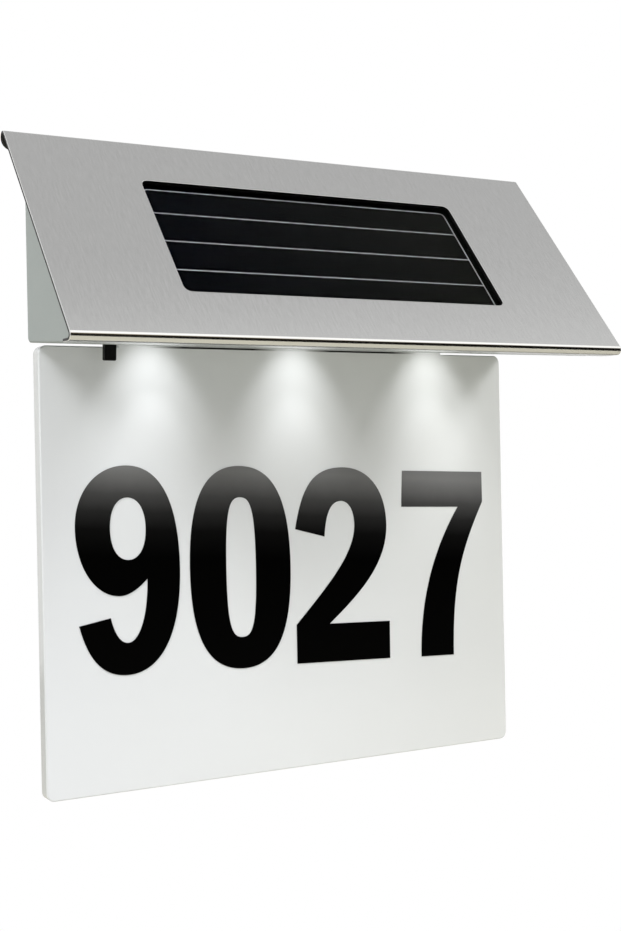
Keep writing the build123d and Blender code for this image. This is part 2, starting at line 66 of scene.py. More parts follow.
# Canopy: 1 mm stainless sheet, brushed along its slope, laser cut and deburred, then folded twice.
# It hooks over the housing's top edge and under its nose, and foam tape holds it to the solar panel's glass.
sheet, fold_radius, fold_angle = 0.001, 0.0018, np.radians(50)
half_width, slope_length = 0.1025, 0.0893
rear_flange, rear_corner, return_flange, return_corner = 0.004, 0.0036, 0.0067, 0.003
window_half_width, window_half_height, window_corner = 0.06075, 0.02615, 0.0025
side_arris, window_arris, arris_slant = 0.0003, 0.00015, 0.7
crest_y, crest_z = -0.0038, 0.0266
lip_y = crest_y - slope_length * np.cos(fold_angle)
lip_z = crest_z - slope_length * np.sin(fold_angle)
crest_turn, lip_turn = np.pi / 2 + fold_angle, np.pi - fold_angle
path_ends = np.cumsum(
    [0, rear_flange, fold_radius * crest_turn, slope_length, fold_radius * lip_turn, return_flange]
)
crest_start, slope_start, lip_start, return_start, sheet_end = path_ends[1:]


def sheet_points(x, path, depth):
    """The folded sheet from its flat pattern: x across it, path along its outer face from the rear edge.

    A fold's centre stays put while the sheet bends and moves along each flat, and the sheet's face lies a
    fold radius from it, less the depth, in the direction that the face has turned to.
    """
    turn = np.interp(path, path_ends, [0, 0, crest_turn, crest_turn, 1.5 * np.pi, 1.5 * np.pi])
    y = np.interp(path, path_ends, [crest_y, crest_y, crest_y, lip_y, lip_y, lip_y + return_flange])
    z = np.interp(path, path_ends, [crest_z - rear_flange, crest_z, crest_z, lip_z, lip_z, lip_z])
    out = fold_radius - depth
    return np.stack(np.broadcast_arrays(x, y + out * np.cos(turn), z + out * np.sin(turn)), -1)


side_points = 10
corner_turn = np.linspace(0, np.pi / 2, 9)
across = np.linspace(-1, 1, side_points)
crest_rows = np.linspace(crest_start, slope_start, 25)
slope_rows = np.linspace(slope_start, lip_start, side_points)
lip_rows = np.linspace(lip_start, return_start, 33)


def side_edge(inset):
    """Half width and path of the right edge, that far inside the cut: an arc, the straight side, an arc."""
    first, last = rear_corner - inset, return_corner - inset
    straight = np.concatenate(
        [crest_rows, slope_rows[1:-1], lip_rows, [sheet_end - (return_flange + return_corner) / 2]]
    )
    x = np.concatenate(
        [
            half_width - rear_corner + first * np.sin(corner_turn),
            np.full(len(straight), half_width - inset),
            half_width - return_corner + last * np.sin(corner_turn[::-1]),
        ]
    )
    path = np.concatenate(
        [
            rear_corner - first * np.cos(corner_turn),
            straight,
            sheet_end - return_corner + last * np.cos(corner_turn[::-1]),
        ]
    )
    return x, path


def sheet_outline(inset):
    """The flat pattern's outline, clockwise from the rear flange's left corner, that far inside the cut."""
    side_x, side_path = side_edge(inset)
    x = np.concatenate([across * side_x[0], side_x[1:], -across[1:] * side_x[-1], -side_x[-2:0:-1]])
    path = np.concatenate(
        [
            np.full(side_points, side_path[0]),
            side_path[1:],
            np.full(side_points - 1, side_path[-1]),
            side_path[-2:0:-1],
        ]
    )
    return x, path


def window_outline(inset):
    """The window's rounded rectangle, clockwise from its upper left corner, that far outside the cut.

    Each of its four sides runs from the middle of one corner's arc to the middle of the next.
    """
    half = side_points // 2
    side = np.arange(4)[:, None]
    corner = (side + (np.arange(side_points) >= half)) % 4
    turn = np.radians(np.concatenate([np.linspace(135, 90, half), np.linspace(90, 45, half)]) - 90 * side)
    corner_x = (window_half_width - window_corner) * np.array([-1, 1, 1, -1])[corner]
    corner_path = (window_half_height - window_corner) * np.array([-1, -1, 1, 1])[corner]
    x = corner_x + (window_corner + inset) * np.cos(turn)
    path = slope_rows.mean() + corner_path - (window_corner + inset) * np.sin(turn)
    return x.ravel(), path.ravel()


def flat_grid(x, path, depth, through, closed):
    """A grid of the sheet's points, each with its place in the flat pattern and how far through it lies.

    That last value is 0 on the outer face, 0.5 on the cut edge and 1 on the inner face.
    """
    x, path, through = np.broadcast_arrays(x, path, through)
    return sheet_points(x, path, depth), np.stack([x, path, through], -1), closed


tenths_of_micron = 1e7


def join_grids(grids):
    """Vertices, their extra values and quads from grids of (points, extras, closed).

    Vertices that agree to a tenth of a micron are joined.
    """
    points, extras, faces, count = [], [], [], 0
    for grid, extra, closed in grids:
        rows, columns = grid.shape[:2]
        row, column = np.mgrid[0 : rows - 1, 0 : columns if closed else columns - 1]
        beside = (column + 1) % columns
        corners = [(row, column), (row, beside), (row + 1, beside), (row + 1, column)]
        faces.append(np.stack([count + (r * columns + c).ravel() for r, c in corners], -1))
        points.append(grid.reshape(-1, 3))
        extras.append(extra.reshape(rows * columns, -1))
        count += rows * columns
    points, extras = np.concatenate(points), np.concatenate(extras)
    rounded = np.round(points * tenths_of_micron)
    _, first, joined = np.unique(rounded, axis=0, return_index=True, return_inverse=True)
    return points[first], extras[first], joined.ravel()[np.concatenate(faces)]


def new_piece(name, points, faces, material):
    """A smooth mesh object at the origin from arrays, its faces outwards and collapsed quads closed up."""
    mesh = bpy.data.meshes.new(name)
    corners = [list(dict.fromkeys(face)) for face in faces.tolist()]
    mesh.from_pydata(points.tolist(), [], [face for face in corners if len(face) > 2])
    shell = bmesh.new()
    shell.from_mesh(mesh)
    bmesh.ops.recalc_face_normals(shell, faces=shell.faces)
    shell.to_mesh(mesh)
    shell.free()
    mesh.polygons.foreach_set("use_smooth", np.ones(len(mesh.polygons), bool))
    mesh.materials.append(material)
    piece = bpy.data.objects.new(name, mesh)
    bpy.context.scene.collection.objects.link(piece)
    return piece


# The two faces: a grid behind the slope, one before it, and a ring on it from its edges to the window.
edge_x, edge_path = side_edge(side_arris)
hole_x, hole_path = window_outline(window_arris)
rim_half_width = half_width - side_arris
rim_x = rim_half_width * np.concatenate([across, np.ones(side_points), -across, -np.ones(side_points)])
rim_path = np.concatenate(
    [np.full(side_points, slope_start), slope_rows, np.full(side_points, lip_start), slope_rows[::-1]]
)
tiny = 1e-9
canopy_grids = []
for depth, through in ((0, 0.0), (sheet, 1.0)):
    for rows in (edge_path <= slope_start + tiny, edge_path >= lip_start - tiny):
        canopy_grids.append(
            flat_grid(across * edge_x[rows][:, None], edge_path[rows][:, None], depth, through, False)
        )
    canopy_grids.append(
        flat_grid(np.stack([rim_x, hole_x]), np.stack([rim_path, hole_path]), depth, through, True)
    )

# The cut edges: a band round the sheet and one round the window, with both arrises rounded off.
round_off = np.linspace(0, np.pi / 2, 5)
edge_turn = np.concatenate([round_off, round_off[::-1]])[:, None]
outer_half = np.arange(len(edge_turn))[:, None] < len(round_off)
edge_through = np.where(outer_half, edge_turn, np.pi - edge_turn) / np.pi
for outline, arris in ((sheet_outline, side_arris), (window_outline, window_arris)):
    edge_drop = arris_slant * arris * (1 - np.cos(edge_turn))
    edge_depth = np.where(outer_half, edge_drop, sheet - edge_drop)
    cut_x, cut_path = np.stack([outline(arris * (1 - np.sin(turn[0]))) for turn in edge_turn], 1)
    canopy_grids.append(flat_grid(cut_x, cut_path, edge_depth, edge_through, True))
canopy_points, canopy_extras, canopy_faces = join_grids(canopy_grids)


def linear(hex_colour):
    """The linear colour of an sRGB hex value: each channel through the sRGB curve."""
    channels = [int(hex_colour[i : i + 2], 16) / 255 for i in (1, 3, 5)]
    return [c / 12.92 if c <= 0.04045 else ((c + 0.055) / 1.055) ** 2.4 for c in channels] + [1.0]


def new_material(name):
    """An empty node material, its tree and its Principled shader."""
    material = bpy.data.materials.new(name)
    material.use_nodes = True
    tree = material.node_tree
    return material, tree, tree.nodes["Principled BSDF"]


def set_inputs(tree, node, inputs):
    """Sets a node's inputs by name or number, to a value or to a link from another node's socket."""
    for key, value in inputs.items():
        if isinstance(value, bpy.types.NodeSocket):
            tree.links.new(value, node.inputs[key])
        else:
            node.inputs[key].default_value = value


def add_node(tree, kind, inputs, ramp=(), **settings):
    """Adds a node with its settings, its inputs and, for a colour ramp, its stops of (place, hex colour)."""
    node = tree.nodes.new(kind)
    for key, value in settings.items():
        setattr(node, key, value)
    set_inputs(tree, node, inputs)
    for i, (place, colour) in enumerate(ramp):
        stop = node.color_ramp.elements[i] if i < 2 else node.color_ramp.elements.new(place)
        stop.position = place
        stop.color = linear(colour)
    return node


# Brushed stainless steel: the belt leaves fine grooves along the slope, which spread reflections sideways and
# are drawn about twice as wide as they are. The deburred arrises carry a painted highlight, and the lip's
# fold carries painted reflections in bands, with a line of painted shade near its end. The cut and the
# unbrushed inner face are dull, and the inner face is painted darkest in the hook of the rear flange, as
# painted shade.
groove_width, groove_length = 0.0006, 0.006
edge_from, bend_from, hook_reach, hook_from = 0.01, 0.002, 0.002, 0.6
brushed_steel, tree, shader = new_material("brushed_stainless_steel")
pattern = add_node(tree, "ShaderNodeUVMap", {}, uv_map="flat_pattern").outputs["UV"]
grooves = add_node(
    tree, "ShaderNodeMapping", {"Vector": pattern, "Scale": (1 / groove_width, 1 / groove_length, 1.0)}
)
streaks = add_node(
    tree,
    "ShaderNodeTexNoise",
    {"Vector": grooves.outputs["Vector"], "Scale": 1.0, "Detail": 4.0, "Roughness": 0.65},
)
tone = add_node(
    tree,
    "ShaderNodeValToRGB",
    {"Fac": streaks.outputs["Fac"]},
    ramp=[(0.3, "#c6c6c5"), (0.7, "#cececd")],
)
shine = add_node(
    tree,
    "ShaderNodeMapRange",
    {"Value": streaks.outputs["Fac"], "From Min": 0.25, "From Max": 0.75, "To Min": 0.17, "To Max": 0.22},
)
grain = add_node(
    tree, "ShaderNodeBump", {"Height": streaks.outputs["Fac"], "Strength": 0.03, "Distance": 0.0003}
)
depth_in_sheet = add_node(tree, "ShaderNodeAttribute", {}, attribute_name="through").outputs["Fac"]
# The sheet's edges by depth through it: the rounded arrises are painted near white as a highlight, and the
# cut between them is near black.
edge = add_node(
    tree,
    "ShaderNodeValToRGB",
    {"Fac": depth_in_sheet},
    ramp=[
        (0.0, "#d2d2d1"),
        (1.0, "#8c8c88"),
        (0.08, "#fafaf8"),
        (0.32, "#f0f0ee"),
        (0.42, "#262625"),
        (0.6, "#262625"),
    ],
)
on_edge = add_node(tree, "ShaderNodeMath", {0: depth_in_sheet, 1: edge_from}, operation="GREATER_THAN")
path = add_node(tree, "ShaderNodeSeparateXYZ", {"Vector": pattern}).outputs["Y"]
bent = add_node(
    tree,
    "ShaderNodeMapRange",
    {"Value": path, "From Min": lip_start, "From Max": return_start, "To Min": 0.0, "To Max": 1.0},
)
# Painted reflections on the lip's fold, from its start: a white highlight band, a brown band, a pale band,
# then a dark line of painted shade, then grey.
painted_lip_reflections = add_node(
    tree,
    "ShaderNodeValToRGB",
    {"Fac": bent.outputs["Result"]},
    ramp=[
        (0.0, "#fffefb"),
        (1.0, "#c8c8c6"),
        (0.17, "#fffefb"),
        (0.22, "#857960"),
        (0.27, "#857960"),
        (0.36, "#d3d2cb"),
        (0.8, "#d3d2cb"),
        (0.88, "#77756e"),
        (0.97, "#77756e"),
    ],
)
on_bend = add_node(
    tree, "ShaderNodeMath", {0: bent.outputs["Result"], 1: bend_from}, operation="GREATER_THAN"
)
outer_face = add_node(
    tree,
    "ShaderNodeMix",
    {"Factor": on_bend.outputs[0], 6: tone.outputs["Color"], 7: painted_lip_reflections.outputs["Color"]},
    data_type="RGBA",
)
# Painted shade: the inner face of the rear flange and the crest's fold is painted dark, where the hook shades
# it.
hook = add_node(
    tree, "ShaderNodeMapRange", {"Value": path, "From Min": slope_start + hook_reach, "From Max": slope_start}
)
shaded = add_node(
    tree, "ShaderNodeMath", {0: hook.outputs["Result"], 1: depth_in_sheet}, operation="MULTIPLY"
)
painted_hook_shade = add_node(tree, "ShaderNodeMath", {0: shaded.outputs[0], 1: hook_from}, operation="GREATER_THAN")
rest_of_sheet = add_node(
    tree,
    "ShaderNodeMix",
    {"Factor": painted_hook_shade.outputs[0], 6: edge.outputs["Color"], 7: linear("#454541")},
    data_type="RGBA",
)
dull = add_node(
    tree,
    "ShaderNodeMix",
    {"Factor": on_edge.outputs[0], 2: shine.outputs["Result"], 3: 0.5},
    data_type="FLOAT",
)
steel_colour = add_node(
    tree,
    "ShaderNodeMix",
    {"Factor": on_edge.outputs[0], 6: outer_face.outputs[2], 7: rest_of_sheet.outputs[2]},
    data_type="RGBA",
)
sideways = add_node(tree, "ShaderNodeTangent", {}, direction_type="UV_MAP", uv_map="flat_pattern")
set_inputs(
    tree,
    shader,
    {
        "Base Color": steel_colour.outputs[2],
        "Metallic": 1.0,
        "Roughness": dull.outputs[0],
        "Anisotropic": 0.85,
        "Tangent": sideways.outputs["Tangent"],
        "Normal": grain.outputs["Normal"],
    },
)

canopy = new_piece("canopy_sheet", canopy_points, canopy_faces, brushed_steel)
loop_vertex = np.zeros(len(canopy.data.loops), np.int32)
canopy.data.loops.foreach_get("vertex_index", loop_vertex)
canopy.data.uv_layers.new(name="flat_pattern").data.foreach_set(
    "uv", canopy_extras[loop_vertex, :2].astype(np.float32).ravel()
)
canopy.data.attributes.new("through", "FLOAT", "POINT").data.foreach_set(
    "value", canopy_extras[:, 2].astype(np.float32)
)
canopy.modifiers.new("even_shading", "WEIGHTED_NORMAL").mode = "FACE_AREA"
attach(canopy, "lamp")
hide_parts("canopy")


# Solar panel: low reflection glass over four strips of silicon, with a pale laminate board behind that shows
# as thin lines between them. Black foam tape seals the glass to the sheet.
def dress(material, *names):
    """Puts a material on CAD nodes."""
    for name in names:
        for slot in nodes[name].material_slots:
            slot.material = material


# Coated glass: the strips show through it with hardly a reflection, which smears blur a little.
smear_size = 0.02
solar_glass, tree, shader = new_material("low_reflection_glass")
place = add_node(tree, "ShaderNodeTexCoord", {}).outputs["Object"]
smears = add_node(tree, "ShaderNodeTexNoise", {"Vector": place, "Scale": 1 / smear_size, "Detail": 3.0})
haze = add_node(
    tree, "ShaderNodeMapRange", {"Value": smears.outputs["Fac"], "To Min": 0.02, "To Max": 0.06}
)
refracted = add_node(
    tree, "ShaderNodeBsdfRefraction", {"Color": linear("#ffffff"), "Roughness": 0.0, "IOR": 1.5}
)
reflected = add_node(
    tree, "ShaderNodeBsdfAnisotropic", {"Color": linear("#ffffff"), "Roughness": haze.outputs["Result"]}
)
coated = add_node(tree, "ShaderNodeFresnel", {"IOR": 1.06})
glazed = add_node(
    tree, "ShaderNodeMixShader", {0: coated.outputs[0], 1: refracted.outputs[0], 2: reflected.outputs[0]}
)
set_inputs(tree, tree.nodes["Material Output"], {"Surface": glazed.outputs[0]})
tree.nodes.remove(shader)
dress(solar_glass, "solar_glass")

# Amorphous silicon: a nearly black film, bluer at the left and browner at the right, with a faint mottle.
mottle_size, mottle_shift = 0.015, 0.02
film_left, film_right = -0.055, 0.065
silicon, tree, shader = new_material("amorphous_silicon")
place = add_node(tree, "ShaderNodeTexCoord", {}).outputs["Object"]
sideways = add_node(tree, "ShaderNodeSeparateXYZ", {"Vector": place}).outputs["X"]
mottle = add_node(tree, "ShaderNodeTexNoise", {"Vector": place, "Scale": 1 / mottle_size, "Detail": 3.0})
mottle = add_node(
    tree,
    "ShaderNodeMath",
    {0: mottle.outputs["Fac"], 1: mottle_shift, 2: sideways},
    operation="MULTIPLY_ADD",
)
spread = add_node(
    tree, "ShaderNodeMapRange", {"Value": mottle.outputs[0], "From Min": film_left, "From Max": film_right}
)
film = add_node(
    tree, "ShaderNodeValToRGB", {"Fac": spread.outputs["Result"]}, ramp=[(0.0, "#010206"), (1.0, "#0e0f0d")]
)
set_inputs(
    tree, shader, {"Base Color": film.outputs["Color"], "Roughness": 0.5, "Specular IOR Level": 0.0}
)
dress(silicon, "solar_cells")

# Laminate: pale and matt, with the faint blotches of its weave.
blotch_size = 0.004
laminate, tree, shader = new_material("pale_laminate")
place = add_node(tree, "ShaderNodeTexCoord", {}).outputs["Object"]
weave = add_node(tree, "ShaderNodeTexNoise", {"Vector": place, "Scale": 1 / blotch_size, "Detail": 3.0})
board = add_node(
    tree, "ShaderNodeValToRGB", {"Fac": weave.outputs["Fac"]}, ramp=[(0.3, "#c2c6ca"), (0.7, "#ccd0d3")]
)
set_inputs(tree, shader, {"Base Color": board.outputs["Color"], "Roughness": 0.5})
dress(laminate, "solar_backboard")

# Foam: dull and finely pitted, black in the window's tape and the cover's seal, and white in the pad that
# holds the cell's holder to the cover.
foam_cell = 0.0006
for colour, dark, light, names in (
    ("black", "#060606", "#101010", ("window_gasket", "cover_seal")),
    ("white", "#d4d4d0", "#e4e4e0", ("holder_pad",)),
):
    foam, tree, shader = new_material(colour + "_foam")
    place = add_node(tree, "ShaderNodeTexCoord", {}).outputs["Object"]
    cells = add_node(tree, "ShaderNodeTexVoronoi", {"Vector": place, "Scale": 1 / foam_cell})
    foam_colour = add_node(
        tree, "ShaderNodeValToRGB", {"Fac": cells.outputs["Distance"]}, ramp=[(0.0, dark), (1.0, light)]
    )
    set_inputs(
        tree,
        shader,
        {"Base Color": foam_colour.outputs["Color"], "Roughness": 0.9, "Specular IOR Level": 0.1},
    )
    dress(foam, *names)

# Housing and back cover: ABS mouldings, silver-grey and matt grey. The housing is open behind and the cover
# closes it with four screws. A fine spark finish in the moulds gives them a soft, broad sheen.
abs_pit, colour_drift = 0.0006, 0.03
for name, dark, light, roughness in (
    ("housing", "#8f9794", "#99a09d", 0.38),
    ("back_cover", "#5d6160", "#666a69", 0.55),
):
    moulded_abs, tree, shader = new_material(name + "_abs")
    place = add_node(tree, "ShaderNodeTexCoord", {}).outputs["Object"]
    spark = add_node(tree, "ShaderNodeTexNoise", {"Vector": place, "Scale": 1 / abs_pit, "Detail": 2.0})
    drift = add_node(tree, "ShaderNodeTexNoise", {"Vector": place, "Scale": 1 / colour_drift, "Detail": 2.0})
    texture = add_node(
        tree, "ShaderNodeMath", {0: spark.outputs["Fac"], 1: drift.outputs["Fac"]}, operation="ADD"
    )
    texture = add_node(
        tree, "ShaderNodeMapRange", {"Value": texture.outputs[0], "From Min": 0.6, "From Max": 1.4}
    )
    plastic = add_node(
        tree, "ShaderNodeValToRGB", {"Fac": texture.outputs["Result"]}, ramp=[(0.0, dark), (1.0, light)]
    )
    finish = add_node(
        tree, "ShaderNodeBump", {"Height": spark.outputs["Fac"], "Strength": 0.05, "Distance": 0.0002}
    )
    set_inputs(
        tree,
        shader,
        {"Base Color": plastic.outputs["Color"], "Roughness": roughness, "Normal": finish.outputs["Normal"]},
    )
    dress(moulded_abs, name)

# Screws: zinc-plated steel, bright and faintly mottled. The cover's four and the tongue's two are countersunk
# flush, with a cross recess for the driver, and pan heads hold the circuit board.
zinc_spangle = 0.0008
zinc, tree, shader = new_material("zinc_plated_steel")
place = add_node(tree, "ShaderNodeTexCoord", {}).outputs["Object"]
spangle = add_node(tree, "ShaderNodeTexNoise", {"Vector": place, "Scale": 1 / zinc_spangle, "Detail": 2.0})
plate = add_node(
    tree, "ShaderNodeValToRGB", {"Fac": spangle.outputs["Fac"]}, ramp=[(0.3, "#a2a4a6"), (0.7, "#b8b9b9")]
)
set_inputs(tree, shader, {"Base Color": plate.outputs["Color"], "Metallic": 1.0, "Roughness": 0.3})
dress(zinc, "board_screws")

head_radius, shank_radius, wing_length, wing_half_width = 0.0025, 0.00125, 0.0016, 0.00042
tip_length, rim_height, recess_depth, recess_point = 0.0008, 0.00015, 0.0008, 0.0011
tip_share, crown_share, recess_share = 0.5, 0.93, 0.8
sharp_from = np.radians(35)
wing_turn = np.arctan(wing_half_width / wing_length)
quarter_turn = np.concatenate(
    [
        np.linspace(0, wing_turn, 3)[:-1],
        np.linspace(wing_turn, np.pi / 4, 5)[:-1],
        np.linspace(np.pi / 4, np.pi / 2 - wing_turn, 5)[:-1],
        np.linspace(np.pi / 2 - wing_turn, np.pi / 2, 3)[:-1],
    ]
)
screw_turn = (np.arange(4)[:, None] * np.pi / 2 + quarter_turn).ravel()


def cross_screw(x, z, length):
    """A countersunk screw in the rear face: rings of a radius and a depth, from tip to recess floor.

    The recess is a cross, and its radius in a direction is the longer of what its two bars have there. Its
    points stand in for the extra values, which a screw has no use for.
    """
    across_bar, along_bar = np.abs(np.sin(screw_turn)) + tiny, np.abs(np.cos(screw_turn)) + tiny
    cross = np.maximum(
        np.minimum(wing_length / along_bar, wing_half_width / across_bar),
        np.minimum(wing_half_width / along_bar, wing_length / across_bar),
    )
    rings = [
        (0.0, length),
        (tip_share * shank_radius, length),
        (shank_radius, length - tip_length),
        (shank_radius, head_radius - shank_radius),
        (head_radius, rim_height),
        (crown_share * head_radius, 0.0),
        (cross, 0.0),
        (recess_share * cross, recess_depth),
        (0.0, recess_point),
    ]
    radius = np.stack([ring * np.ones_like(cross) for ring, depth in rings])
    depth = np.array([depth for ring, depth in rings])[:, None]
    points = np.stack(
        np.broadcast_arrays(x + radius * np.cos(screw_turn), -depth, z + radius * np.sin(screw_turn)), -1
    )
    return points, points, True


for name, row_count in (("cover_screws", 2), ("panel_screws", 1)):
    low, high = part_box(name)
    columns = (low.x + head_radius, high.x - head_radius)
    rows = np.linspace(low.z + head_radius, high.z - head_radius, row_count)
    screw_grids = [cross_screw(x, z, high.y - low.y) for x in columns for z in rows]
    screw_points, _, screw_faces = join_grids(screw_grids)
    screws = new_piece(name + "_zinc", screw_points, screw_faces, zinc)
    screws.data.set_sharp_from_angle(angle=sharp_from)
    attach(screws, "lamp")
    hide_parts(name)

# Number panel: 5 mm opal acrylic, cut and flame polished, its tongue screwed behind the housing's floor.
# It is a little warmer towards the viewer's right, its cut edges are greyer, and a black line of painted
# shadow runs along the tongue's foot under the floor, faint under the centre LED and left out under the
# outer ones, where their light falls.
panel_half_width, cloud_size, cloud_share = 0.0925, 0.04, 0.15
shadow_line_low, shadow_line_high, shadow_line_half_width = -0.0402, -0.0391, 0.060
opal_acrylic, tree, shader = new_material("opal_acrylic")
place = add_node(tree, "ShaderNodeTexCoord", {}).outputs["Object"]
sideways = add_node(tree, "ShaderNodeSeparateXYZ", {"Vector": place}).outputs["X"]
cloud = add_node(tree, "ShaderNodeTexNoise", {"Vector": place, "Scale": 1 / cloud_size, "Detail": 4.0})
warmth = add_node(
    tree,
    "ShaderNodeMapRange",
    {"Value": sideways, "From Min": -panel_half_width, "From Max": panel_half_width},
)
tint = add_node(
    tree,
    "ShaderNodeMath",
    {0: cloud.outputs["Fac"], 1: cloud_share, 2: warmth.outputs["Result"]},
    operation="MULTIPLY_ADD",
)
tint = add_node(tree, "ShaderNodeMapRange", {"Value": tint.outputs[0], "From Max": 1 + cloud_share})
opal = add_node(
    tree, "ShaderNodeValToRGB", {"Fac": tint.outputs["Result"]}, ramp=[(0.0, "#e8ebef"), (1.0, "#e4e6e5")]
)
facing = add_node(tree, "ShaderNodeNewGeometry", {}).outputs["Normal"]
sides = add_node(tree, "ShaderNodeVectorMath", {0: facing, 1: (1.0, 0.0, 0.0)}, operation="DOT_PRODUCT")
sides = add_node(tree, "ShaderNodeMath", {0: sides.outputs["Value"]}, operation="ABSOLUTE")
cut_edge = add_node(
    tree, "ShaderNodeMapRange", {"Value": sides.outputs[0], "From Min": 0.6, "From Max": 0.95}
)
edged = add_node(
    tree,
    "ShaderNodeMix",
    {"Factor": cut_edge.outputs["Result"], 6: opal.outputs["Color"], 7: linear("#d6d8d8")},
    data_type="RGBA",
)
# Painted shadow: a thin band at the top of the panel's front face is painted black just below the floor,
# except where the LEDs' light falls.
foot = add_node(tree, "ShaderNodeSeparateXYZ", {"Vector": place}).outputs["Z"]
foot = add_node(tree, "ShaderNodeMapRange", {"Value": foot, "From Min": shadow_line_low, "From Max": shadow_line_high})
shadow_line_band = add_node(
    tree,
    "ShaderNodeValToRGB",
    {"Fac": foot.outputs["Result"]},
    ramp=[(0.0, "#000000"), (0.8, "#000000"), (0.2, "#ffffff"), (0.6, "#ffffff")],
)
along = add_node(
    tree,
    "ShaderNodeMapRange",
    {"Value": sideways, "From Min": -shadow_line_half_width, "From Max": shadow_line_half_width},
)
shade_between_leds = add_node(
    tree,
    "ShaderNodeValToRGB",
    {"Fac": along.outputs["Result"]},
    ramp=[
        (0.04, "#000000"),
        (0.95, "#000000"),
        (0.16, "#ffffff"),
        (0.38, "#ffffff"),
        (0.46, "#606060"),
        (0.55, "#606060"),
        (0.64, "#ffffff"),
        (0.86, "#ffffff"),
    ],
)
painted_shadow_line = add_node(
    tree, "ShaderNodeMath", {0: shadow_line_band.outputs["Color"], 1: shade_between_leds.outputs["Color"]}, operation="MULTIPLY"
)
front = add_node(tree, "ShaderNodeVectorMath", {0: facing, 1: (0.0, -1.0, 0.0)}, operation="DOT_PRODUCT")
painted_shadow_line = add_node(
    tree,
    "ShaderNodeMath",
    {0: painted_shadow_line.outputs[0], 1: front.outputs["Value"]},
    operation="MULTIPLY",
    use_clamp=True,
)
panel_colour = add_node(
    tree,
    "ShaderNodeMix",
    {"Factor": painted_shadow_line.outputs[0], 6: edged.outputs[2], 7: linear("#050505")},
    data_type="RGBA",
)
set_inputs(tree, shader, {"Base Color": panel_colour.outputs[2], "Roughness": 0.12})
dress(opal_acrylic, "number_panel")

# Numerals: black vinyl film, cut one by one and stuck to the panel's face in a row that falls a little to the
# right. The film has a soft gloss, and the light from above greys the numerals' tops.
ripple_size, ripple_height = 0.005, 0.001
grey_low, grey_high, grey_fall = -0.113, -0.083, 0.058
vinyl, tree, shader = new_material("black_vinyl")
place = add_node(tree, "ShaderNodeTexCoord", {}).outputs["Object"]
height = add_node(
    tree, "ShaderNodeVectorMath", {0: place, 1: (grey_fall, 0.0, 1.0)}, operation="DOT_PRODUCT"
).outputs["Value"]
ripple = add_node(tree, "ShaderNodeTexNoise", {"Vector": place, "Scale": 1 / ripple_size, "Detail": 2.0})
wavy = add_node(
    tree,
    "ShaderNodeMath",
    {0: ripple.outputs["Fac"], 1: ripple_height, 2: height},
    operation="MULTIPLY_ADD",
)
lifted = add_node(
    tree, "ShaderNodeMapRange", {"Value": wavy.outputs[0], "From Min": grey_low, "From Max": grey_high}
)
greyed = add_node(
    tree,
    "ShaderNodeValToRGB",
    {"Fac": lifted.outputs["Result"]},
    ramp=[(0.0, "#010101"), (1.0, "#747474"), (0.3, "#0c0c0c"), (0.5, "#242424"), (0.7, "#444444")],
)
set_inputs(
    tree, shader, {"Base Color": greyed.outputs["Color"], "Roughness": 0.3, "Specular IOR Level": 0.05}
)
dress(vinyl, "numeral_nine", "numeral_zero", "numeral_two", "numeral_seven")

# Switch, cell holder, chip and coil: black nylon and epoxy mouldings with a satin face. The switch, chip and
# coil are soldered to the board, and the switch's lever slides in the floor's slot.
nylon_pit = 0.0007
nylon, tree, shader = new_material("black_nylon")
place = add_node(tree, "ShaderNodeTexCoord", {}).outputs["Object"]
spark = add_node(tree, "ShaderNodeTexNoise", {"Vector": place, "Scale": 1 / nylon_pit, "Detail": 2.0})
black = add_node(
    tree, "ShaderNodeValToRGB", {"Fac": spark.outputs["Fac"]}, ramp=[(0.3, "#060606"), (0.7, "#0d0d0d")]
)
set_inputs(
    tree, shader, {"Base Color": black.outputs["Color"], "Roughness": 0.45, "Specular IOR Level": 0.12}
)
dress(nylon, "switch_lever", "switch_body", "battery_holder", "control_chip", "inductor")

# Circuit board: glass-epoxy laminate under solder mask, a glossy green with the faint blotches of the weave.
# It is screwed to posts on the housing's floor.
mask_blotch = 0.002
solder_mask, tree, shader = new_material("green_solder_mask")
place = add_node(tree, "ShaderNodeTexCoord", {}).outputs["Object"]
weave = add_node(tree, "ShaderNodeTexNoise", {"Vector": place, "Scale": 1 / mask_blotch, "Detail": 2.0})
mask = add_node(
    tree, "ShaderNodeValToRGB", {"Fac": weave.outputs["Fac"]}, ramp=[(0.3, "#1c5a38"), (0.7, "#246844")]
)
set_inputs(tree, shader, {"Base Color": mask.outputs["Color"], "Roughness": 0.3})
dress(solder_mask, "circuit_board")

# Cell and its two contacts: the contacts are stamped from nickel-plated steel, a warm and bright metal, and
# hold the cell in its holder. The cell wears a shrunk green sleeve, smooth but for faint wrinkles.
nickel_spangle = 0.001
nickel, tree, shader = new_material("nickel_plated_steel")
place = add_node(tree, "ShaderNodeTexCoord", {}).outputs["Object"]
spangle = add_node(tree, "ShaderNodeTexNoise", {"Vector": place, "Scale": 1 / nickel_spangle, "Detail": 2.0})
plate = add_node(
    tree, "ShaderNodeValToRGB", {"Fac": spangle.outputs["Fac"]}, ramp=[(0.3, "#b8b4aa"), (0.7, "#cac6bc")]
)
set_inputs(tree, shader, {"Base Color": plate.outputs["Color"], "Metallic": 1.0, "Roughness": 0.25})
dress(nickel, "battery_contact_plus", "battery_contact_minus")

wrinkle_size = 0.006
sleeve, tree, shader = new_material("green_cell_sleeve")
place = add_node(tree, "ShaderNodeTexCoord", {}).outputs["Object"]
wrinkle = add_node(tree, "ShaderNodeTexNoise", {"Vector": place, "Scale": 1 / wrinkle_size, "Detail": 2.0})
film = add_node(
    tree, "ShaderNodeValToRGB", {"Fac": wrinkle.outputs["Fac"]}, ramp=[(0.3, "#3f7d54"), (0.7, "#4a8a60")]
)
set_inputs(tree, shader, {"Base Color": film.outputs["Color"], "Roughness": 0.35})
dress(sleeve, "battery_cell")

